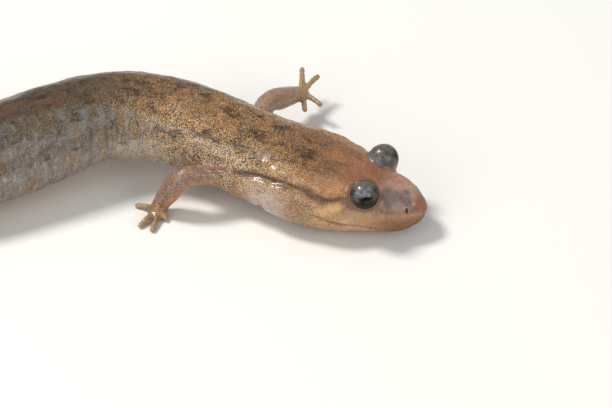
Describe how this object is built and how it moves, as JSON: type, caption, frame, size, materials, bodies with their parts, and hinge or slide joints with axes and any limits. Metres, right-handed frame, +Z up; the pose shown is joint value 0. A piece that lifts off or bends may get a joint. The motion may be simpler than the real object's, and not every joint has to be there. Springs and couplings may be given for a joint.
{
  "type": "dusky salamander model",
  "caption": "Still life-size dusky salamander in a slow walking pose, its trunk and tail curved, its head to one side and a front foot lifted mid-step.",
  "frame": {"origin": "centre of the bounding box's footprint, on the floor that the feet and the tail rest on", "axes": "+Z up, +X towards the head along the longest side of the box, +Y to the animal's left"},
  "size_m": [0.105, 0.0322, 0.0088],
  "materials": {
    "skin": "moist skin, brown with dark and golden speckles, paler below",
    "eye": "wet dark eye with gold flecks"
  },
  "bodies": {
    "root": {"head": "skin", "lower_jaw": "skin", "eye_left": "eye", "eye_right": "eye", "neck": "skin", "trunk_fore": "skin", "trunk_hind": "skin", "tail_base": "skin", "tail_middle": "skin", "tail_tip": "skin", "fore_right_upper_arm": "skin", "fore_right_forearm": "skin", "fore_right_hand": "skin", "fore_left_upper_arm": "skin", "fore_left_forearm": "skin", "fore_left_hand": "skin", "hind_right_thigh": "skin", "hind_right_shank": "skin", "hind_right_foot": "skin", "hind_left_thigh": "skin", "hind_left_shank": "skin", "hind_left_foot": "skin"}
  },
  "joints": []
}
